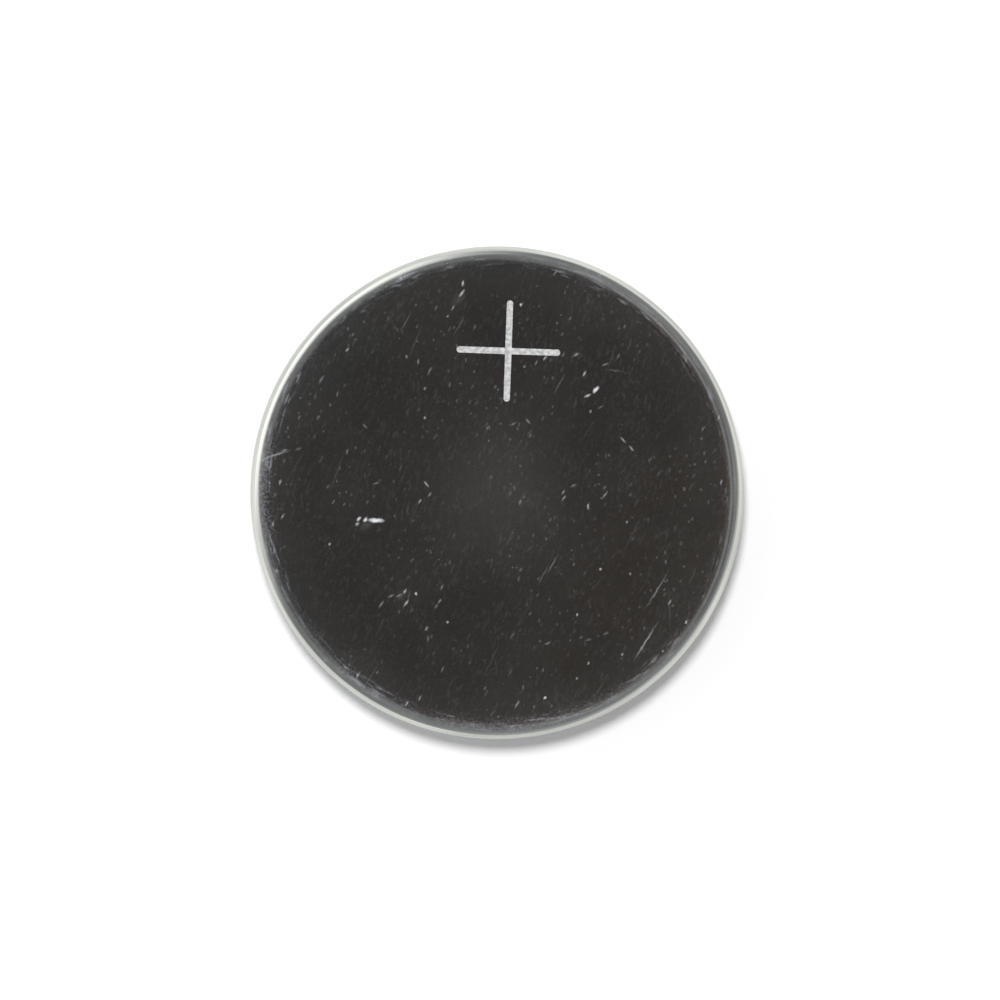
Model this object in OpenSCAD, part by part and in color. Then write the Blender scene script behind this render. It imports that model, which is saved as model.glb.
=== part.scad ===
// Lithium coin cell: a crimped steel can, a moulded gasket and a stepped cap closed round a lithium stack.
// The negative face lies at z = 0 with the origin at its centre, and the positive face is on top.
// Each piece is one revolved section, drawn with x as the radius and y as the height.

/* [Cell] */
// Outer diameter of the cell
cell_d = 20; // [16:0.5:24.5]
// Height over the two contact faces
cell_h = 1.6; // [1.4:0.1:3.2]

/* [Positive can] */
// Thickness of the can's sheet
can_t = 0.2; // [0.15:0.01:0.26]
// Outer radius of the roll between the positive face and the wall
can_corner_r = 0.6; // [0.4:0.05:0.75]
// Straight length of the crimped lip, inwards of its bend
lip_w = 0.2; // [0.12:0.02:0.4]
// Depth of the crimped lip behind the negative face
lip_recess = 0.06; // [0.02:0.01:0.15]
// Radius on the outer corner of the lip's cut edge
lip_edge_r = 0.08; // [0.03:0.01:0.12]

/* [Gasket] */
// Thickness of the gasket between the can and the cap
gasket_t = 0.16; // [0.1:0.01:0.22]
// Thickness of the gasket's foot, under the end of the cap's skirt
gasket_foot_t = 0.2; // [0.12:0.02:0.3]
// Thickness of the upstand on the inside of the skirt
upstand_t = 0.2; // [0.1:0.02:0.3]
// Height of the upstand above the foot
upstand_h = 0.35; // [0.1:0.05:0.5]
// Width of the gasket that shows inside the crimped lip
gasket_show_w = 0.22; // [0.12:0.02:0.3]

/* [Negative cap] */
// Thickness of the cap's sheet
cap_t = 0.2; // [0.15:0.01:0.25]
// Outer radius of the bend between the flange and the skirt
cap_corner_r = 0.3; // [0.24:0.01:0.36]
// Width of the flat flange, between the shoulder and the skirt's bend
flange_w = 0.75; // [0.6:0.05:1.5]
// Inside radius of the two bends of the shoulder
shoulder_bend_r = 0.1; // [0.05:0.01:0.11]

/* [Cathode] */
// Gap between the cathode ring and the well of the cap, along the radius
ring_gap = 0.25; // [0.1:0.05:1]
// Thickness of the cathode ring's sheet
ring_t = 0.1; // [0.05:0.01:0.15]
// Height of the cathode ring
ring_h = 0.5; // [0.2:0.05:0.55]
// Width of the ring's foot, on the inside of the can
ring_foot_w = 0.7; // [0.3:0.05:1.5]

/* [Separator and lithium] */
// Thickness of the separator
separator_t = 0.12; // [0.06:0.01:0.18]
// Gap between the separator and the well of the cap, along the radius
separator_gap = 0.1; // [0.05:0.01:0.3]
// Thickness of the lithium disc
lithium_t = 0.3; // [0.2:0.01:0.4]
// Gap between the lithium disc and the well of the cap, along the radius
lithium_gap = 0.2; // [0.1:0.05:1]

/* [Hidden] */
$fn = 192;

// The can, from its positive face round to its lip
cell_r = cell_d / 2;
can_in_r = cell_r - can_t;
can_in_z = cell_h - can_t;
can_corner = [cell_r - can_corner_r, cell_h - can_corner_r];
crimp_r = cap_corner_r + gasket_t + can_t;
crimp = [cell_r - crimp_r, lip_recess + crimp_r];
lip_r = crimp[0] - lip_w;

// The cap, from its skirt round to its flat face
skirt_r = can_in_r - gasket_t;
skirt_in_r = skirt_r - cap_t;
skirt_end_z = can_in_z - gasket_foot_t;
flange_z = lip_recess + can_t + gasket_t;
flange_r = crimp[0] - flange_w;
bend_in_r = min(shoulder_bend_r, (flange_z - cap_t) / 2);
bend_out_r = bend_in_r + cap_t;
shoulder_in_r = flange_r - bend_out_r;
cap_flat_r = shoulder_in_r - bend_in_r;

// The gasket's inner face and the end of the lip that shows
upstand_r = skirt_in_r - upstand_t;
upstand_z = skirt_end_z - upstand_h;
gasket_lip_r = lip_r - gasket_show_w;

// The stack, from the cap up to the can
lithium_z = cap_t;
separator_z = lithium_z + lithium_t;
pellet_z = separator_z + separator_t;
ring_r = cap_flat_r - ring_gap;
pellet_r = ring_r - ring_t;

// A slice of the plane, from one angle to another less than 180 degrees on
module wedge(reach, from, to) {
    a = reach * [cos(from), sin(from)];
    b = reach * [cos(to), sin(to)];
    polygon([[0, 0], a, a + b, b]);
}

// A slice of a round bar
module slice(centre, r, from, to) {
    translate(centre)
        intersection() {
            circle(r = r);
            wedge(2 * r, from, to);
        }
}

// A bend in a sheet, by the radius of its outer face
module bend(centre, outer_r, sheet, from, to) {
    inner_r = max(outer_r - sheet, 0);
    difference() {
        slice(centre, outer_r, from, to);
        if (inner_r > 0)
            translate(centre) circle(r = inner_r);
    }
}

// A straight stretch of a section, between two opposite corners
module stretch(low, high) {
    translate(low) square(high - low);
}

// The end of a bar whose lower corner is rounded, from its rounded end inwards to r_to
module rounded_end(r_end, r_to, z_low, z_high, edge_r) {
    stretch([r_end + edge_r, z_low], [r_to, z_high]);
    stretch([r_end, z_low + edge_r], [r_end + edge_r, z_high]);
    slice([r_end + edge_r, z_low + edge_r], edge_r, 180, 270);
}

module can_section() {
    stretch([0, can_in_z], [can_corner[0], cell_h]);
    bend(can_corner, can_corner_r, can_t, 0, 90);
    stretch([can_in_r, crimp[1]], [cell_r, can_corner[1]]);
    bend(crimp, crimp_r, can_t, -90, 0);
    rounded_end(lip_r, crimp[0], lip_recess, lip_recess + can_t, lip_edge_r);
}

// The sheet steps up and out through the shoulder's two bends, then turns up round the flange's edge
module cap_section() {
    lower = [cap_flat_r, bend_out_r];
    upper = [flange_r, flange_z - bend_in_r];
    stretch([0, 0], [cap_flat_r, cap_t]);
    bend(lower, bend_out_r, cap_t, -90, 0);
    if (upper[1] > lower[1])
        stretch([shoulder_in_r, lower[1]], [shoulder_in_r + cap_t, upper[1]]);
    bend(upper, bend_out_r, cap_t, 90, 180);
    stretch([flange_r, flange_z], [crimp[0], flange_z + cap_t]);
    bend(crimp, cap_corner_r, cap_t, -90, 0);
    stretch([skirt_in_r, crimp[1]], [skirt_r, skirt_end_z]);
}

// The gasket fills what is left between the can and the cap's skirt and flange
module gasket_section() {
    half_t = gasket_t / 2;
    lip_mid = [gasket_lip_r + half_t, flange_z - half_t];
    slice(lip_mid, half_t, 90, 180);
    slice(lip_mid, half_t, 180, 270);
    stretch([lip_mid[0], flange_z - gasket_t], [crimp[0], flange_z]);
    bend(crimp, cap_corner_r + gasket_t, gasket_t, -90, 0);
    stretch([skirt_r, crimp[1]], [can_in_r, can_corner[1]]);
    difference() {
        union() {
            slice(can_corner, can_corner_r - can_t, 0, 90);
            stretch([upstand_r, skirt_end_z], [can_corner[0], can_in_z]);
            stretch([upstand_r, upstand_z], [skirt_in_r, skirt_end_z]);
        }
        stretch([skirt_in_r, upstand_z], [skirt_r, skirt_end_z]);
    }
}

module ring_section() {
    stretch([pellet_r, can_in_z - ring_h], [ring_r, can_in_z]);
    stretch([pellet_r - ring_foot_w, can_in_z - ring_t], [pellet_r, can_in_z]);
}

// The pellet is pressed into its ring, so its rim steps back for the ring's foot
module pellet_section() {
    stretch([0, pellet_z], [pellet_r, can_in_z - ring_t]);
    stretch([0, can_in_z - ring_t], [pellet_r - ring_foot_w, can_in_z]);
}

module positive_can() {
    color([0.66, 0.66, 0.65]) rotate_extrude() can_section();
}

module gasket() {
    color([0.86, 0.87, 0.84]) rotate_extrude() gasket_section();
}

module negative_cap() {
    color([0.72, 0.72, 0.71]) rotate_extrude() cap_section();
}

module cathode_pellet() {
    color([0.12, 0.12, 0.12]) rotate_extrude() pellet_section();
}

module cathode_ring() {
    color([0.6, 0.6, 0.6]) rotate_extrude() ring_section();
}

module separator() {
    color([0.94, 0.94, 0.92])
        translate([0, 0, separator_z])
            cylinder(r = cap_flat_r - separator_gap, h = separator_t);
}

module lithium_disc() {
    color([0.78, 0.78, 0.8])
        translate([0, 0, lithium_z])
            cylinder(r = cap_flat_r - lithium_gap, h = lithium_t);
}

positive_can();
gasket();
negative_cap();
cathode_pellet();
cathode_ring();
separator();
lithium_disc();
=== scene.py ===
"""A lithium coin cell that lies on its negative face, dressed on its CAD frame, in metres."""

import math

import bpy
from mathutils import Matrix, Vector


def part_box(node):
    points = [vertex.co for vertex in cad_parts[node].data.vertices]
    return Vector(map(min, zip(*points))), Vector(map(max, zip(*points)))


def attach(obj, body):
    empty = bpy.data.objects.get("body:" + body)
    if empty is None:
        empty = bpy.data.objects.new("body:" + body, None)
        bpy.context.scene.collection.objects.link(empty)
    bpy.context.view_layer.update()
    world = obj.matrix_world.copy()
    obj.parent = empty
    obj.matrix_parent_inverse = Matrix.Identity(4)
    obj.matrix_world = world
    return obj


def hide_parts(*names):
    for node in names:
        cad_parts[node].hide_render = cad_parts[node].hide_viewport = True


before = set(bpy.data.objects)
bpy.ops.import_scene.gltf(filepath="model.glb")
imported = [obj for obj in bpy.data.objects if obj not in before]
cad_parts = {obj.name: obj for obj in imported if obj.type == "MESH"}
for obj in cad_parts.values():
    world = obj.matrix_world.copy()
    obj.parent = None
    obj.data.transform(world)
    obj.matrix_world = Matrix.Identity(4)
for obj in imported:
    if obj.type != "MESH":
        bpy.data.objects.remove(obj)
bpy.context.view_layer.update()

MM = 0.001

# Sizes that the frame gives
can_low, can_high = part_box("positive_can")
gasket_low, gasket_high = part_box("gasket")
cap_low, cap_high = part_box("negative_cap")
CELL_R = can_high.x
CELL_H = can_high.z
LIP_RECESS = can_low.z
CAN_T = gasket_low.z - can_low.z
SKIRT_R = cap_high.x
SKIRT_END = cap_high.z
GASKET_T = CELL_R - CAN_T - SKIRT_R

# Sizes of the sections that no box gives
CAN_ROLL = 0.6 * MM
CROWN_R = 4 * MM
CROWN_TILT = 5
LIP_W = 0.2 * MM
LIP_EDGE = 0.08 * MM
CAP_T = 0.2 * MM
CAP_ROLL = 0.3 * MM
FLANGE_W = 0.75 * MM
SHOULDER_BEND = 0.1 * MM
UPSTAND_T = 0.2 * MM
UPSTAND_H = 0.35 * MM
GASKET_SHOW = 0.22 * MM

# Centres and radii that follow from them
CRIMP_ROLL = CAP_ROLL + GASKET_T + CAN_T
CRIMP_R = CELL_R - CRIMP_ROLL
CRIMP_Z = LIP_RECESS + CRIMP_ROLL
CORNER_R = CELL_R - CAN_ROLL
CROWN_FALL = (CROWN_R - CAN_ROLL) * (1 - math.cos(math.radians(CROWN_TILT)))
CROWN_START = CORNER_R - (CROWN_R - CAN_ROLL) * math.sin(math.radians(CROWN_TILT))
CORNER_Z = CELL_H - CAN_ROLL
LIP_R = CRIMP_R - LIP_W
CAN_IN_Z = CELL_H - CAN_T
FLANGE_R = CRIMP_R - FLANGE_W
FLANGE_Z = LIP_RECESS + CAN_T + GASKET_T
SHOULDER_OUT = SHOULDER_BEND + CAP_T
CAP_FLAT_R = FLANGE_R - SHOULDER_OUT - SHOULDER_BEND
GASKET_LIP_R = LIP_R - GASKET_SHOW

# How finely a piece is turned, and how finely its bends are drawn, from the widest to the hidden ones
TURN_STEPS = 360
ROLL_STEPS = 14
WIDE_BEND_STEPS = 10
BEND_STEPS = 8
TIGHT_BEND_STEPS = 6
EDGE_STEPS = 5
HIDDEN_BEND_STEPS = 4

# A narrow band of the flat beside a bend, so that the rest of the flat shades as flat
LAND = 0.05 * MM

# Points closer than this are one, and edges less sharp than this shade as smooth
WELD = 0.0005 * MM
SMOOTH_BELOW = math.radians(30)

# Where the photograph was taken from
PIXELS_PER_MM = 24.65
FRAME_PIXELS = 1000
FACE_CENTRE_PX = (497, 493)
CAMERA_DISTANCE = 0.45
SENSOR = 36.0
NEAREST_SEEN = 0.01
FURTHEST_SEEN = 20

# The etched plus sign on the positive face, in millimetres from its centre: its bars by length and turn
PLUS_AT = (0.46, 5.75)
PLUS_BARS = ((4.2, 0), (4.1, 90))
PLUS_STROKE = 0.262
PLUS_TURN = -2
STROKE_SIDES = 24

# How deep the etch goes, and how many times as tall the bars are that cut it
ETCH_DEPTH = 0.008 * MM
CUTTER_DEPTHS = 4

# How the face was polished and how it was scratched, in degrees
POLISH_LEAN = 70
SCRATCH_LEAN = 60

# How far and how finely the outline of a mark wanders
RAGGED_REACH = 0.05 * MM
RAGGED_GRAIN = 0.18 * MM

# The shortest strewn mark as a share of the longest, and how wide its palest part is, squared
SHORTEST_STROKE = 0.3
STROKE_HEART = 0.1

# The nets of the kinds lie shifted from one another: the shift along y for every millimetre along x
SHIFT_SLOPE = -0.6

# Marks that stand out, by kind: length and width in millimetres, the lean in degrees, and the places
# on the face with how pale each is
HANDLING_MARKS = [
    # Dots
    (0.17, 0.13, 70, [
        (0.97, 7.62, 0.50), (1.95, -8.30, 0.55), (-6.78, -2.08, 0.32), (-2.00, -5.22, 0.32),
        (1.12, 5.11, 0.18), (5.26, -1.17, 0.20), (-2.92, 3.04, 0.26), (3.25, -4.93, 0.35),
        (3.23, -7.52, 0.21), (5.07, -6.54, 0.25), (6.72, -6.42, 0.21), (5.39, -3.26, 0.21),
        (4.19, -3.08, 0.38), (7.66, -5.23, 0.36), (3.70, -6.90, 0.31), (-3.27, -4.07, 0.42),
        (-2.92, 4.22, 0.20), (-2.00, 7.16, 0.16),
    ]),
    # Short nicks
    (0.31, 0.105, 62, [
        (-1.78, 7.50, 0.24), (1.94, 5.46, 0.36), (3.53, 4.83, 0.36), (-3.73, -3.98, 0.34),
        (-5.64, -7.38, 0.23), (-3.65, -8.52, 0.28), (-3.12, -8.30, 0.20), (7.00, -4.42, 0.22),
        (-2.33, -4.39, 0.19), (-2.23, -3.81, 0.14), (-2.46, -4.59, 0.12), (-2.20, -7.14, 0.14),
        (-8.68, -0.95, 0.22), (-3.12, -0.34, 0.25), (-2.72, -0.07, 0.18), (-2.47, 7.49, 0.12),
        (-0.90, 6.70, 0.10), (2.36, 8.90, 0.14), (4.91, 5.54, 0.13), (2.69, 5.60, 0.12),
        (1.58, 5.28, 0.13), (8.97, 3.05, 0.20), (8.35, 2.60, 0.14), (2.69, 0.04, 0.18),
        (2.71, -0.21, 0.22), (0.94, -0.38, 0.13),
    ]),
    # Nicks that stand more upright
    (0.30, 0.11, 80, [
        (-1.38, 8.50, 0.46), (-2.79, -5.90, 0.11), (-9.07, -1.25, 0.20), (-9.05, -2.37, 0.14),
        (-3.19, 5.33, 0.17), (-6.46, 4.02, 0.11), (-6.07, 1.66, 0.15), (9.08, 0.43, 0.22),
        (3.69, -0.55, 0.36),
    ]),
    # Longer nicks
    (0.46, 0.115, 59, [
        (-1.42, 8.08, 0.38), (-3.68, -4.46, 0.32), (-4.68, -4.50, 0.18), (-7.10, 4.60, 0.15),
        (-2.73, 4.94, 0.13), (4.37, -0.08, 0.19), (0.81, -8.56, 0.19),
    ]),
    # Nicks that lie flatter
    (0.36, 0.12, 24, [
        (3.20, 5.60, 0.22), (3.67, 3.94, 0.40), (-8.62, 1.72, 0.18), (-8.05, 1.78, 0.10),
        (-4.30, -4.17, 0.14), (-3.97, -4.15, 0.17), (4.39, 5.21, 0.14), (4.19, 3.47, 0.10),
        (3.08, 0.30, 0.13), (-5.41, 7.36, 0.09), (3.69, -5.95, 0.10), (4.41, -5.68, 0.11),
        (2.06, -6.08, 0.13), (0.66, 2.80, 0.12), (-4.90, 0.38, 0.12),
    ]),
    # Nicks that lean the other way
    (0.38, 0.12, -52, [
        (-2.86, 0.36, 0.26), (5.11, 2.14, 0.23), (5.44, 1.81, 0.24), (1.25, 2.92, 0.15),
        (-6.98, -6.75, 0.08), (-5.35, 2.71, 0.12),
    ]),
    # Long scratches
    (1.15, 0.085, 61, [
        (2.52, 4.42, 0.08), (-1.52, 6.80, 0.07), (2.25, -2.87, 0.12), (-3.71, 6.90, 0.08),
        (1.86, -3.33, 0.08),
    ]),
    (2.10, 0.095, 58, [(6.47, -3.95, 0.14), (6.02, -6.02, 0.22)]),
    (2.10, 0.10, 92, [(6.98, -4.70, 0.04)]),
    (0.85, 0.10, -5, [(4.78, 4.95, 0.07)]),
    (1.30, 0.14, 17, [(-8.92, 1.56, 0.18)]),
    # The two deepest gouges, and the chips beside one of them
    (0.44, 0.17, 52, [(4.00, 4.18, 0.78)]),
    (0.74, 0.23, -3, [(-4.90, -1.11, 0.85)]),
    (0.26, 0.17, 50, [(-5.33, -1.08, 0.62), (-5.60, -1.05, 0.56), (-5.66, -1.26, 0.30)]),
    # Smudges
    (0.90, 0.46, 40, [(-1.56, 7.85, 0.03), (-5.30, -1.30, 0.035), (-3.85, -4.12, 0.02)]),
]

# The very middle of a mark is this many times as pale as its number says
MARK_PEAK = 1.5

# The white table, how much it glows for the rays that see it, and which rays those are
FLOOR_SIZE = 3
FLOOR_COLOUR = (0.87, 0.87, 0.865)
FLOOR_LIFT = 0.14
SEEING_RAYS = ("Is Camera Ray", "Is Glossy Ray", "Is Transmission Ray")

# The studio round the cell, by the sine of the elevation: a dark ceiling and paler walls
STUDIO = [
    (0.00, (0.60, 0.60, 0.59)),
    (0.12, (0.38, 0.38, 0.385)),
    (0.30, (0.27, 0.275, 0.29)),
    (0.45, (0.25, 0.255, 0.27)),
    (0.70, (0.25, 0.255, 0.27)),
    (0.88, (0.24, 0.24, 0.255)),
    (0.955, (0.17, 0.168, 0.174)),
    (0.975, (0.135, 0.132, 0.136)),
    (0.992, (0.0427, 0.0425, 0.0438)),
]

# The ceiling is warmer on one side of the spot straight above the cell, by an azimuth in degrees
CEILING_WARM_SIDE = -30
CEILING_WARMTH = (1.14, 0.985, 0.855)

# Soft panels, pale and dark: the azimuth in degrees, the cosine at which a panel's side edge lies, the
# heights between which it fades in and out, and its light
PANELS = [
    (147, 0.35, (-0.05, 0.05), (0.36, 0.76), 1.42),
    (318, 0.35, (-0.05, 0.05), (0.20, 0.55), 0.34),
    (12, 0.10, (0.86, 0.92), (0.965, 0.985), 0.11),
    (352, 0.62, (0.66, 0.78), (0.84, 0.91), -0.12),
    (207, 0.70, (0.70, 0.80), (0.91, 0.975), -0.10),
]

# Past the cosine of a panel's very middle, so that the panel is full nowhere and has no flat heart
PANEL_HEART = 1.12

# The key lamp's place in degrees, its strength and how wide it is seen from the cell
KEY_AZIMUTH = 102
KEY_ELEVATION = math.radians(65)
KEY_ENERGY = 2.48
KEY_SPREAD = math.radians(20)


def arc(centre_r, centre_z, radius, start, end, steps=ROLL_STEPS):
    """Points round a bend of a section, by its centre, its radius and its angles in degrees."""
    angles = [math.radians(start + (end - start) * i / steps) for i in range(steps + 1)]
    return [(centre_r + radius * math.cos(a), centre_z + radius * math.sin(a)) for a in angles]


def deselect():
    if bpy.context.object and bpy.context.object.mode != "OBJECT":
        bpy.ops.object.mode_set(mode="OBJECT")
    bpy.ops.object.select_all(action="DESELECT")


def turned(name, section, closed):
    """A piece turned on a lathe: a circle is drawn out from point to point of its section."""
    deselect()
    radius, height = section[0]
    bpy.ops.mesh.primitive_circle_add(
        vertices=TURN_STEPS,
        radius=radius,
        fill_type="NOTHING" if closed else "NGON",
        location=(0, 0, height),
    )
    piece = bpy.context.object
    piece.name = name
    bpy.ops.object.transform_apply(location=True)
    bpy.ops.object.mode_set(mode="EDIT")
    bpy.ops.mesh.select_mode(type="EDGE")
    bpy.ops.mesh.select_all(action="SELECT")
    for next_radius, next_height in section[1:]:
        rise = next_height - height
        bpy.ops.mesh.extrude_edges_move(TRANSFORM_OT_translate={"value": (0, 0, rise)})
        spread = next_radius / radius
        bpy.ops.transform.resize(value=(spread, spread, 1), center_override=(0, 0, 0))
        radius, height = next_radius, next_height
    if not closed:
        bpy.ops.mesh.edge_face_add()
    bpy.ops.mesh.select_all(action="SELECT")
    bpy.ops.mesh.remove_doubles(threshold=WELD)
    bpy.ops.mesh.normals_make_consistent(inside=False)
    bpy.ops.object.mode_set(mode="OBJECT")
    return piece


def select_only(piece):
    deselect()
    piece.select_set(True)
    bpy.context.view_layer.objects.active = piece


def smooth(piece):
    select_only(piece)
    bpy.ops.object.shade_smooth_by_angle(angle=SMOOTH_BELOW)


def can_shell():
    """The can's sheet, from its positive face over the roll, down the wall and round the crimp."""
    outside = [(CROWN_START - LAND, CELL_H)]
    outside += arc(CROWN_START, CELL_H - CROWN_R, CROWN_R, 90, 90 - CROWN_TILT, BEND_STEPS)
    outside += arc(CORNER_R, CORNER_Z - CROWN_FALL, CAN_ROLL, 90 - CROWN_TILT, 0)[1:]
    outside += arc(CRIMP_R, CRIMP_Z, CRIMP_ROLL, 0, -90)
    outside += [(LIP_R + LIP_EDGE + LAND, LIP_RECESS)]
    outside += arc(LIP_R + LIP_EDGE, LIP_RECESS + LIP_EDGE, LIP_EDGE, 270, 180, EDGE_STEPS)
    inside = [(LIP_R, LIP_RECESS + CAN_T)]
    inside += arc(CRIMP_R, CRIMP_Z, CRIMP_ROLL - CAN_T, -90, 0)
    inside += arc(CORNER_R, CORNER_Z, CAN_ROLL - CAN_T, 0, 90)
    inside += [(CORNER_R - LAND, CAN_IN_Z)]
    return turned("can_shell", outside + inside, closed=False)


def cap_shell():
    """The cap's sheet, from the negative face up its shoulder, out to the flange and up the skirt."""
    outside = [(CAP_FLAT_R - LAND, 0)]
    outside += arc(CAP_FLAT_R, SHOULDER_OUT, SHOULDER_OUT, -90, 0, WIDE_BEND_STEPS)
    outside += arc(FLANGE_R, FLANGE_Z - SHOULDER_BEND, SHOULDER_BEND, 180, 90, BEND_STEPS)
    outside += arc(CRIMP_R, CRIMP_Z, CAP_ROLL, -90, 0, BEND_STEPS)
    outside += [(SKIRT_R, SKIRT_END)]
    skirt_in = SKIRT_R - CAP_T
    inside = [(skirt_in, SKIRT_END)]
    inside += arc(CRIMP_R, CRIMP_Z, CAP_ROLL - CAP_T, 0, -90, HIDDEN_BEND_STEPS)
    inside += arc(FLANGE_R, FLANGE_Z - SHOULDER_BEND, SHOULDER_OUT, 90, 180, BEND_STEPS)
    inside += arc(CAP_FLAT_R, SHOULDER_OUT, SHOULDER_BEND, 0, -90, TIGHT_BEND_STEPS)
    inside += [(CAP_FLAT_R - LAND, CAP_T)]
    return turned("cap_shell", outside + inside, closed=False)


def gasket_ring():
    """The gasket's J section, from its visible lip round the skirt to the upstand inside it."""
    half_t = GASKET_T / 2
    skirt_in = SKIRT_R - CAP_T
    upstand_in = skirt_in - UPSTAND_T
    section = arc(GASKET_LIP_R + half_t, FLANGE_Z - half_t, half_t, 90, 270, WIDE_BEND_STEPS)
    section += arc(CRIMP_R, CRIMP_Z, CRIMP_ROLL - CAN_T, -90, 0)
    section += arc(CORNER_R, CORNER_Z, CAN_ROLL - CAN_T, 0, 90)
    section += [(upstand_in, CAN_IN_Z), (upstand_in, SKIRT_END - UPSTAND_H)]
    section += [(skirt_in, SKIRT_END - UPSTAND_H), (skirt_in, SKIRT_END), (SKIRT_R, SKIRT_END)]
    section += arc(CRIMP_R, CRIMP_Z, CAP_ROLL, 0, -90, BEND_STEPS)
    section += [section[0]]
    return turned("gasket_ring", section, closed=True)


def plus_bar(length, turn):
    """A round-ended bar of the plus sign, from the depth of the etch up through the positive face."""
    deselect()
    radius = PLUS_STROKE / 2 * MM
    bpy.ops.mesh.primitive_circle_add(vertices=STROKE_SIDES, radius=radius, fill_type="NGON")
    bar = bpy.context.object
    reach = (length - PLUS_STROKE) / 2 * MM
    bpy.ops.object.mode_set(mode="EDIT")
    bpy.ops.mesh.select_mode(type="VERT")
    for side in (1, -1):
        bpy.ops.mesh.select_all(action="DESELECT")
        bpy.ops.object.mode_set(mode="OBJECT")
        for v in bar.data.vertices:
            v.select = v.co.x * side > 0
        bpy.ops.object.mode_set(mode="EDIT")
        bpy.ops.transform.translate(value=(reach * side, 0, 0))
    bpy.ops.mesh.select_all(action="SELECT")
    height = CUTTER_DEPTHS * ETCH_DEPTH
    bpy.ops.mesh.extrude_region_move(TRANSFORM_OT_translate={"value": (0, 0, height)})
    bpy.ops.mesh.select_all(action="SELECT")
    bpy.ops.mesh.normals_make_consistent(inside=False)
    bpy.ops.object.mode_set(mode="OBJECT")
    place = Matrix.Translation((PLUS_AT[0] * MM, PLUS_AT[1] * MM, CELL_H - ETCH_DEPTH))
    bar.data.transform(place @ Matrix.Rotation(math.radians(turn), 4, "Z"))
    return bar


def etch(shell, bar, frosted):
    """Sinks the bar into the shell's face and leaves the floor it cuts frosted."""
    bar.data.materials.append(frosted)
    select_only(shell)
    cut = shell.modifiers.new("etch", "BOOLEAN")
    cut.operation = "DIFFERENCE"
    cut.solver = "EXACT"
    cut.material_mode = "TRANSFER"
    cut.object = bar
    bpy.ops.object.modifier_apply(modifier="etch")
    bpy.data.objects.remove(bar)


class Nodes:
    """The nodes of a material or of the studio, with short ways to add and join them."""

    def __init__(self, tree):
        self.tree = tree

    def add(self, kind, **settings):
        node = self.tree.nodes.new(kind)
        for key, value in settings.items():
            setattr(node, key, value)
        return node

    def feed(self, socket, value):
        if isinstance(value, bpy.types.NodeSocket):
            self.tree.links.new(value, socket)
        elif socket.type == "RGBA":
            socket.default_value = (*value, 1)
        else:
            socket.default_value = value

    def fed(self, kind, values, **settings):
        """A new node whose first inputs take these values."""
        node = self.add(kind, **settings)
        for socket, value in zip(node.inputs, values):
            self.feed(socket, value)
        return node

    def math(self, operation, *values, clamp=False):
        return self.fed("ShaderNodeMath", values, operation=operation, use_clamp=clamp).outputs[0]

    def folded(self, operation, first, *others):
        """One number made of many, taken two by two."""
        for other in others:
            first = self.math(operation, first, other)
        return first

    def times(self, *values):
        return self.folded("MULTIPLY", *values)

    def total(self, *values):
        return self.folded("ADD", *values)

    def largest(self, *values):
        return self.folded("MAXIMUM", *values)

    def vector(self, operation, *values):
        node = self.fed("ShaderNodeVectorMath", values, operation=operation)
        gives_number = operation in ("LENGTH", "DISTANCE", "DOT_PRODUCT")
        return node.outputs["Value" if gives_number else "Vector"]

    def parts(self, vector):
        return self.fed("ShaderNodeSeparateXYZ", (vector,)).outputs

    def ramp(self, value, low, high, start=0.0, end=1.0):
        """A soft step from start to end, as the value goes from low to high."""
        values = (value, low, high, start, end)
        return self.fed("ShaderNodeMapRange", values, interpolation_type="SMOOTHSTEP").outputs[0]

    def mix(self, share, a, b, blend="MIX"):
        node = self.add("ShaderNodeMix", data_type="RGBA", blend_type=blend)
        self.feed(node.inputs["Factor"], share)
        self.feed(node.inputs["A"], a)
        self.feed(node.inputs["B"], b)
        return node.outputs["Result"]


def toward(degrees):
    """The level direction of an azimuth."""
    azimuth = math.radians(degrees)
    return (math.cos(azimuth), math.sin(azimuth), 0)


class Finish(Nodes):
    """A material under construction, laid out in the coordinates of its piece."""

    def __init__(self, name):
        self.material = bpy.data.materials.new(name)
        self.material.use_nodes = True
        super().__init__(self.material.node_tree)
        self.shader = self.tree.nodes["Principled BSDF"]
        self.place = self.add("ShaderNodeTexCoord").outputs["Object"]

    def give(self, quality, value):
        self.feed(self.shader.inputs[quality], value)

    def drawn_out(self, where, scale, turn):
        """Coordinates stretched by a scale, along axes that are turned."""
        node = self.add("ShaderNodeMapping", vector_type="TEXTURE")
        self.feed(node.inputs["Scale"], scale)
        self.feed(node.inputs["Rotation"], (0, 0, turn))
        self.feed(node.inputs["Vector"], where)
        return node.outputs[0]

    def grain(self, where, scale, detail=2.0):
        node = self.add("ShaderNodeTexNoise")
        self.feed(node.inputs["Scale"], scale)
        self.feed(node.inputs["Detail"], detail)
        self.feed(node.inputs["Vector"], where)
        return node.outputs

    def noise(self, grain_mm, detail=3.0, stretch=(1, 1, 1), turn=0.0):
        where = self.drawn_out(self.place, stretch, turn)
        return self.grain(where, 1 / (grain_mm * MM), detail)["Fac"]

    def bump(self, height, depth_mm, strength=1.0):
        node = self.add("ShaderNodeBump")
        self.feed(node.inputs["Strength"], strength)
        self.feed(node.inputs["Distance"], depth_mm * MM)
        self.feed(node.inputs["Height"], height)
        self.give("Normal", node.outputs[0])


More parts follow.
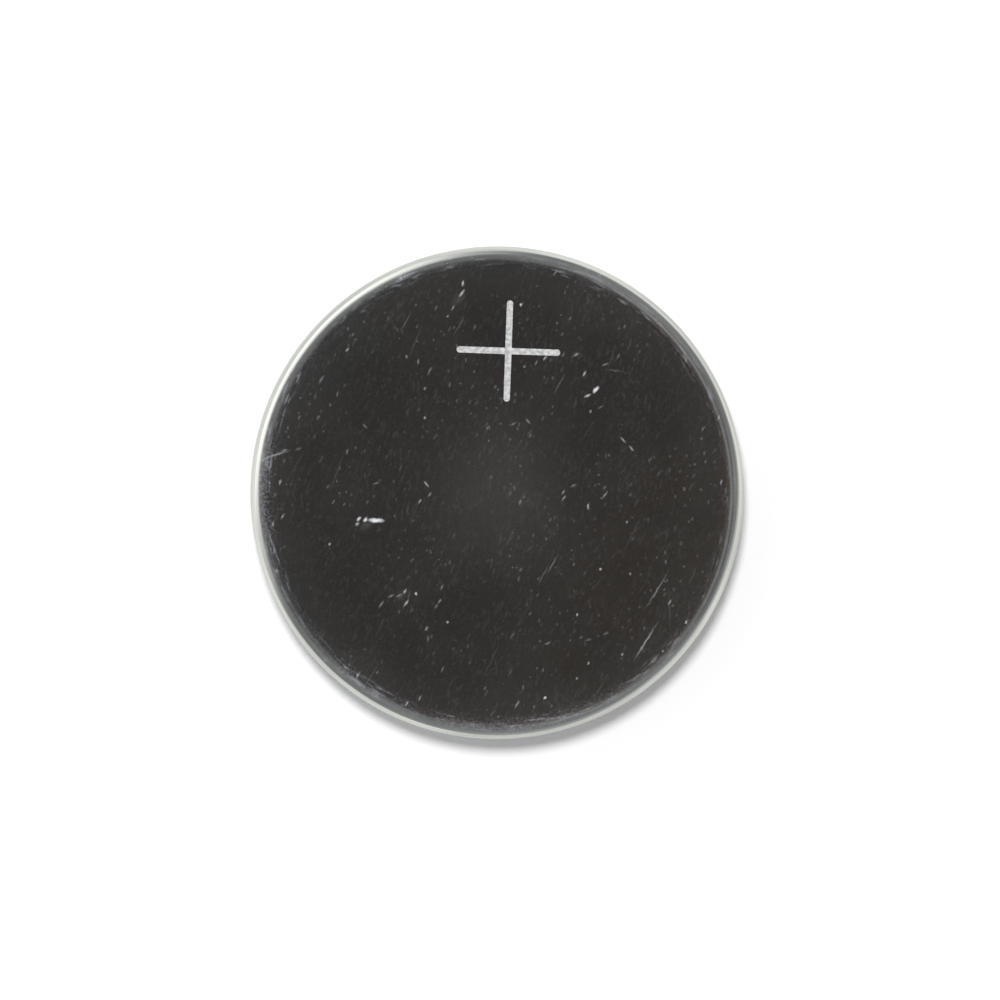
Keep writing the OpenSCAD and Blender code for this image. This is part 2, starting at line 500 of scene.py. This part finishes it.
class WornFinish(Finish):
    """A finish with marks of ragged outline, some of them set by how far they lie from the axis."""

    def __init__(self, name):
        super().__init__(name)
        colour = self.grain(self.place, 1 / RAGGED_GRAIN)["Color"]
        centred = self.vector("SUBTRACT", colour, (0.5, 0.5, 0.5))
        wander = self.vector("MULTIPLY", centred, (2 * RAGGED_REACH, 2 * RAGGED_REACH, 0))
        self.ragged = self.vector("ADD", self.place, wander)
        self.flat = self.vector("MULTIPLY", self.place, (1, 1, 0))
        self.radius = self.vector("LENGTH", self.flat)

    def beyond(self, start_mm, full_mm, low=0.0, high=1.0):
        """A soft step at a distance from the axis."""
        return self.ramp(self.radius, start_mm * MM, full_mm * MM, low, high)

    def band(self, start_mm, full_mm, fading_mm, gone_mm):
        """A ring with soft edges round the axis."""
        return self.times(self.beyond(start_mm, full_mm), self.beyond(gone_mm, fading_mm))

    def along(self, degrees):
        """How far a point lies from the middle of the cell towards an azimuth."""
        return self.vector("DOT_PRODUCT", self.place, toward(degrees))

    def lines_round(self, length_mm, width_mm):
        """Noise drawn out into lines that run round the cell's edge."""
        lengths = CELL_R / (length_mm * MM)
        way = self.vector("MULTIPLY", self.vector("NORMALIZE", self.flat), (lengths, lengths, 0))
        across = self.add("ShaderNodeCombineXYZ")
        self.feed(across.inputs["Z"], self.math("DIVIDE", self.radius, width_mm * MM))
        return self.grain(self.vector("ADD", way, across.outputs[0]), 1.0)["Fac"]

    def strokes(self, apart_mm, size_mm, lean, spread, share, shift_mm=0.0):
        """Marks strewn one to a cell of a net, in a share of its cells, leaning about an angle."""
        length, width = size_mm[0] * MM, size_mm[1] * MM
        spread = math.radians(spread)
        shift = (shift_mm * MM, SHIFT_SLOPE * shift_mm * MM, 0)
        moved = self.vector("ADD", self.ragged, shift)
        cells = self.add("ShaderNodeTexVoronoi", voronoi_dimensions="2D", feature="F1")
        self.feed(cells.inputs["Scale"], 1 / (apart_mm * MM))
        self.feed(cells.inputs["Randomness"], 1.0)
        self.feed(cells.inputs["Vector"], moved)
        away = self.vector("SUBTRACT", moved, cells.outputs["Position"])
        luck = self.fed("ShaderNodeSeparateColor", (cells.outputs["Color"],)).outputs
        angle = self.math("MULTIPLY_ADD", luck[0], spread, -math.radians(lean) - spread / 2)
        leaning = self.add("ShaderNodeVectorRotate", rotation_type="Z_AXIS")
        self.feed(leaning.inputs["Vector"], away)
        self.feed(leaning.inputs["Angle"], angle)
        lengthwise, crosswise, _ = self.parts(leaning.outputs[0])
        shortest = SHORTEST_STROKE * length / 2
        reach = self.math("MULTIPLY_ADD", luck[1], length / 2 - shortest, shortest)
        along = self.math("DIVIDE", lengthwise, reach)
        across = self.math("DIVIDE", crosswise, width / 2)
        out = self.total(self.times(along, along), self.times(across, across))
        picked = self.ramp(luck[2], 1 - share, 1.0)
        return self.times(self.ramp(out, 1.0, STROKE_HEART), picked)

    def marks_alike(self, length_mm, width_mm, lean_degrees, places, others):
        """Handling marks of one size and lean, palest in the middle, over those that others holds."""
        lean = math.radians(lean_degrees)
        half_length, half_width = length_mm / 2, width_mm / 2
        leaning = self.drawn_out(self.ragged, (half_length * MM, half_width * MM, 1), lean)
        spot = self.vector("MULTIPLY", leaning, (1, 1, 0))
        for x, y, pale in places:
            along = (x * math.cos(lean) + y * math.sin(lean)) / half_length
            across = (y * math.cos(lean) - x * math.sin(lean)) / half_width
            away = self.vector("DISTANCE", spot, (along, across, 0))
            peak = MARK_PEAK * pale
            others = self.largest(others, self.math("MULTIPLY_ADD", away, -peak, peak))
        return others


def strewn_marks(f, patches):
    """Pits, nicks, brighter nicks and scratches. The first two are thicker in some patches."""
    pits = f.strokes(0.34, (0.26, 0.11), POLISH_LEAN, spread=40, share=0.55)
    nicks = f.strokes(0.75, (0.55, 0.085), POLISH_LEAN, spread=44, share=0.5, shift_mm=3.1)
    bright = f.strokes(1.9, (0.34, 0.13), POLISH_LEAN, spread=60, share=0.14, shift_mm=7.7)
    scratches = f.strokes(2.8, (2.6, 0.06), SCRATCH_LEAN, spread=24, share=0.5, shift_mm=12.3)
    crowd = f.math("MULTIPLY_ADD", patches, 0.8, 0.2)
    small = f.times(f.largest(f.times(pits, 0.11), f.times(nicks, 0.07)), crowd)
    return f.largest(small, f.times(bright, 0.24), f.times(scratches, 0.05))


def edge_scuffs(f):
    """Scuffs where the face turns into the roll, and those that run round it, where the cell has rolled."""
    rub = f.times(
        f.ramp(f.noise(0.10, detail=3.0), 0.36, 0.80),
        f.ramp(f.noise(3.3, detail=1.0), 0.36, 0.60, 0.3, 1.0),
        f.ramp(f.along(222), -1 * MM, 8.5 * MM, 0.3, 1.0),
    )
    rubbed = f.times(f.band(8.85, 9.5, 9.55, 9.85), rub, 0.19)
    dashes = f.times(
        f.ramp(f.lines_round(0.8, 0.11), 0.50, 0.72),
        f.ramp(f.noise(2.2, detail=1.0), 0.36, 0.58, 0.3, 1.0),
    )
    return f.total(rubbed, f.times(f.band(9.05, 9.3, 9.5, 9.78), dashes, 0.17))


def polishing_haze(f, cloud):
    """Haze in the middle and near the edge, fine streaks all over, and a slow drift."""
    middle = f.beyond(4.4, 0.2, 0.0, 0.028)
    outer = f.beyond(7.2, 9.3, 0.0, 0.012)
    lean = math.radians(POLISH_LEAN)
    streaks = f.ramp(f.noise(0.12, detail=2.0, stretch=(2.6, 1, 1), turn=lean), 0.48, 0.80, 0.0, 0.034)
    streaks = f.times(streaks, f.ramp(f.noise(1.5, detail=2.0), 0.38, 0.62, 0.3, 1.0))
    drift = f.ramp(cloud, 0.35, 0.7, 0.0, 0.008)
    drift = f.total(drift, f.ramp(f.noise(0.075, detail=1.0), 0.3, 0.75, 0.0, 0.010))
    return f.total(middle, outer, f.total(streaks, drift))


def pressed_roll_and_painted_tint(f, plate):
    """The plate's colour, with fine lines from the press round the roll, and greener towards the wall: a
    painted tint of the floor that the wall mirrors.
    """
    # How much painted floor tint the roll takes. It grows towards the wall, where the steel mirrors the
    # floor
    floor_tint_share = f.beyond(9.3, 9.6)
    pale = f.mix(floor_tint_share, (0.66, 0.66, 0.67), (0.67, 0.68, 0.635))
    dark = f.mix(floor_tint_share, (0.475, 0.478, 0.487), (0.48, 0.49, 0.46))
    lined = f.mix(f.ramp(f.lines_round(6.0, 0.15), 0.30, 0.70), pale, dark)
    high = f.ramp(f.parts(f.place)["Z"], 0.95 * MM, 1.15 * MM)
    return f.mix(f.times(f.beyond(8.95, 9.45), high), plate, lined)


def polished_can_steel():
    """Polished can sheet: a haze that is thickest in the middle, streaks, pits, nicks and scuffed edges."""
    f = WornFinish("polished_can_steel")
    cloud = f.noise(2.4)
    patches = f.ramp(cloud, 0.42, 0.66)

    # The marks that stand out come before all others, as the renderer can only keep so many values waiting
    handled = 0.0
    for kind in HANDLING_MARKS:
        handled = f.marks_alike(*kind, handled)

    # Worn steel scatters the light where polished steel mirrors it
    wear = f.largest(strewn_marks(f, patches), handled)
    scuffs = edge_scuffs(f)
    haze = polishing_haze(f, cloud)
    scatter = f.math("ADD", f.total(wear, haze), scuffs, clamp=True)

    # Plated sheet: neutral, and a little warmer in places
    warmth = f.ramp(f.noise(3.4, detail=2.0), 0.36, 0.64)
    plate = f.mix(warmth, (0.572, 0.582, 0.568), (0.586, 0.575, 0.552))
    # The plate and the press lines round the roll, with the painted tint of the mirrored floor at the wall
    plate_with_painted_roll_tint = pressed_roll_and_painted_tint(f, plate)
    rubbed = f.mix(f.beyond(8.7, 9.3), (0.79, 0.80, 0.825), (0.74, 0.75, 0.81))
    f.give("Base Color", f.mix(f.ramp(scatter, 0.0, 0.3), plate_with_painted_roll_tint, rubbed))
    f.give("Specular Tint", (0.78, 0.785, 0.77))
    f.give("Metallic", f.math("SUBTRACT", 1.0, scatter))

    # Fine upright lines that drawing the can left on its wall
    drawn = f.ramp(f.noise(0.055, stretch=(1, 1, 30)), 0.42, 0.72)
    drawn = f.times(drawn, f.beyond(9.9, 9.97, 0.0, 0.22))
    f.give("Roughness", f.total(f.math("MULTIPLY_ADD", scatter, 0.5, 0.085), drawn))
    f.bump(f.noise(0.12, detail=2.0), 0.0006, 0.5)
    return f.material


def frosted_etch():
    """The matt floor that the etch leaves, mottled where it bit unevenly."""
    f = Finish("frosted_etch")
    mottle = f.noise(0.16, detail=4.0)
    blotch = f.noise(1.1, detail=2.0)
    colour = f.mix(f.ramp(mottle, 0.34, 0.66), (0.445, 0.445, 0.44), (0.755, 0.755, 0.755))
    f.give("Base Color", f.mix(f.ramp(blotch, 0.35, 0.7, 0.0, 0.4), colour, (0.585, 0.585, 0.59)))
    f.give("Metallic", 0.06)
    f.give("Roughness", 0.62)
    f.bump(f.noise(0.06, detail=2.0), 0.004, 0.6)
    return f.material


def pebbled_cap_steel():
    """The cap's sheet, rolled with a fine pebble."""
    f = Finish("pebbled_cap_steel")
    pebble = f.noise(0.13, detail=1.0)
    f.give("Base Color", f.mix(f.noise(1.6), (0.56, 0.555, 0.53), (0.62, 0.61, 0.585)))
    f.give("Metallic", 1.0)
    f.give("Roughness", f.ramp(f.noise(0.5), 0.2, 0.8, 0.24, 0.36))
    f.bump(pebble, 0.012, 0.5)
    return f.material


def gasket_polymer():
    """Milky moulded polypropylene."""
    f = Finish("gasket_polymer")
    f.give("Base Color", f.mix(f.noise(0.9), (0.74, 0.75, 0.71), (0.80, 0.80, 0.76)))
    f.give("Roughness", 0.42)
    f.give("Subsurface Weight", 0.2)
    f.give("Subsurface Scale", 0.2 * MM)
    f.bump(f.noise(0.2), 0.003, 0.5)
    return f.material


def rolled_ring_steel():
    """Thin rolled strip, its lines round the ring."""
    f = Finish("rolled_ring_steel")
    lines = f.noise(0.05, detail=2.0, stretch=(20, 20, 1))
    f.give("Base Color", f.mix(lines, (0.50, 0.49, 0.47), (0.60, 0.59, 0.57)))
    f.give("Metallic", 1.0)
    f.give("Roughness", f.ramp(lines, 0.2, 0.8, 0.22, 0.4))
    return f.material


def pressed_cathode_mix():
    """Black pressed oxide powder."""
    f = Finish("pressed_cathode_mix")
    powder = f.noise(0.08, detail=5.0)
    f.give("Base Color", f.mix(powder, (0.015, 0.015, 0.015), (0.06, 0.058, 0.055)))
    f.give("Roughness", 0.85)
    f.bump(powder, 0.01, 0.8)
    return f.material


def separator_fleece():
    """Non-woven fleece, fibres lying every way."""
    f = Finish("separator_fleece")
    one_way = f.noise(0.06, stretch=(1, 8, 1), turn=0.6)
    other_way = f.noise(0.06, stretch=(8, 1, 1), turn=-0.4)
    fibres = f.largest(one_way, other_way)
    f.give("Base Color", f.mix(fibres, (0.70, 0.70, 0.68), (0.90, 0.90, 0.88)))
    f.give("Roughness", 0.9)
    f.bump(fibres, 0.01, 0.7)
    return f.material


def lithium_foil():
    """Soft metal, dulled where it has met the air."""
    f = Finish("lithium_foil")
    tarnish = f.ramp(f.noise(1.8, detail=5.0), 0.35, 0.7)
    f.give("Base Color", f.mix(tarnish, (0.66, 0.66, 0.67), (0.42, 0.42, 0.45)))
    f.give("Metallic", 0.9)
    f.give("Roughness", f.ramp(tarnish, 0.0, 1.0, 0.35, 0.6))
    f.bump(f.noise(0.3), 0.006, 0.5)
    return f.material


def dress(piece, material):
    piece.data.materials.clear()
    piece.data.materials.append(material)


def white_table():
    """Matt white, lifted to paper white for the rays that see it, so that it keeps the cell's shadow."""
    material = bpy.data.materials.new("white_table")
    material.use_nodes = True
    material.node_tree.nodes.clear()
    n = Nodes(material.node_tree)
    path = n.add("ShaderNodeLightPath")
    seen = n.largest(*(path.outputs[kind] for kind in SEEING_RAYS))
    matt = n.fed("ShaderNodeBsdfDiffuse", (FLOOR_COLOUR,))
    glow = n.fed("ShaderNodeEmission", ((1, 1, 1), n.times(seen, FLOOR_LIFT)))
    both = n.fed("ShaderNodeAddShader", (matt.outputs[0], glow.outputs[0]))
    n.fed("ShaderNodeOutputMaterial", (both.outputs[0],))
    return material


def studio_floor():
    deselect()
    bpy.ops.mesh.primitive_plane_add(size=FLOOR_SIZE, location=(0, 0, 0))
    floor = bpy.context.object
    floor.name = "floor"
    dress(floor, white_table())


def studio_room():
    """What the steel mirrors: a dark ceiling, paler walls and soft panels. The camera itself sees white."""
    world = bpy.context.scene.world or bpy.data.worlds.new("studio")
    bpy.context.scene.world = world
    world.use_nodes = True
    world.node_tree.nodes.clear()
    n = Nodes(world.node_tree)
    direction = n.add("ShaderNodeTexCoord").outputs["Generated"]
    height = n.parts(direction)["Z"]

    walls = n.fed("ShaderNodeValToRGB", (height,))
    stops = walls.color_ramp.elements
    while len(stops) < len(STUDIO):
        stops.new(0.5)
    for stop, (at, colour) in zip(stops, STUDIO):
        stop.position = at
        stop.color = (*colour, 1)

    level = n.vector("NORMALIZE", n.vector("MULTIPLY", direction, (1, 1, 0)))
    panels = []
    for azimuth, side_edge, rise, fall, light in PANELS:
        facing = n.ramp(n.vector("DOT_PRODUCT", level, toward(azimuth)), side_edge, PANEL_HEART)
        between = n.times(n.ramp(height, *rise), n.ramp(height, *reversed(fall)))
        panels.append(n.times(facing, between, light))
    glow = n.total(*panels)
    window = n.fed("ShaderNodeCombineColor", (glow, glow, glow))
    room = n.mix(1.0, walls.outputs[0], window.outputs[0], blend="ADD")

    side = n.vector("DOT_PRODUCT", direction, toward(CEILING_WARM_SIDE))
    warm = n.times(n.ramp(side, -0.05, 0.045), n.ramp(height, 0.95, 0.99))
    ceiling = n.mix(warm, room, CEILING_WARMTH, blend="MULTIPLY")
    mirrored = n.fed("ShaderNodeBackground", (ceiling,))
    white = n.fed("ShaderNodeBackground", ((1, 1, 1),))
    to_camera = n.add("ShaderNodeLightPath").outputs["Is Camera Ray"]
    choice = n.fed("ShaderNodeMixShader", (to_camera, mirrored.outputs[0], white.outputs[0]))
    n.fed("ShaderNodeOutputWorld", (choice.outputs[0],))


def soft_key():
    """The lamp that throws the cell's shadow down the picture and a little right. No metal mirrors it."""
    key = bpy.data.lights.new("key", "SUN")
    key.energy = KEY_ENERGY
    key.angle = KEY_SPREAD
    lamp = bpy.data.objects.new("key", key)
    bpy.context.scene.collection.objects.link(lamp)
    source = Vector(toward(KEY_AZIMUTH)) + Vector((0, 0, math.tan(KEY_ELEVATION)))
    lamp.rotation_mode = "QUATERNION"
    lamp.rotation_quaternion = source.to_track_quat("Z", "Y")
    lamp.visible_glossy = False


def photographer():
    """A long lens straight above the cell, framed as the photograph is."""
    pixel = MM / PIXELS_PER_MM
    camera = bpy.data.objects.new("camera", bpy.data.cameras.new("camera"))
    bpy.context.scene.collection.objects.link(camera)
    x = (FRAME_PIXELS / 2 - FACE_CENTRE_PX[0]) * pixel
    y = (FACE_CENTRE_PX[1] - FRAME_PIXELS / 2) * pixel
    camera.location = (x, y, CRIMP_Z + CAMERA_DISTANCE)
    camera.data.lens = SENSOR * CAMERA_DISTANCE / (FRAME_PIXELS * pixel)
    camera.data.sensor_width = SENSOR
    camera.data.clip_start = NEAREST_SEEN
    camera.data.clip_end = FURTHEST_SEEN
    bpy.context.scene.camera = camera


photographer()
studio_floor()
studio_room()
soft_key()

frosted = frosted_etch()
can = can_shell()
dress(can, polished_can_steel())
for length, turn in PLUS_BARS:
    etch(can, plus_bar(length, PLUS_TURN + turn), frosted)
smooth(can)
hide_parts("positive_can")

cap = cap_shell()
dress(cap, pebbled_cap_steel())
smooth(cap)
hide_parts("negative_cap")

gasket = gasket_ring()
dress(gasket, gasket_polymer())
smooth(gasket)
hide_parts("gasket")

for piece in (can, cap, gasket):
    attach(piece, "root")

dress(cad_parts["cathode_ring"], rolled_ring_steel())
dress(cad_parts["cathode_pellet"], pressed_cathode_mix())
dress(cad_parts["separator"], separator_fleece())
dress(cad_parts["lithium_disc"], lithium_foil())

bpy.context.scene.view_settings.view_transform = "Standard"
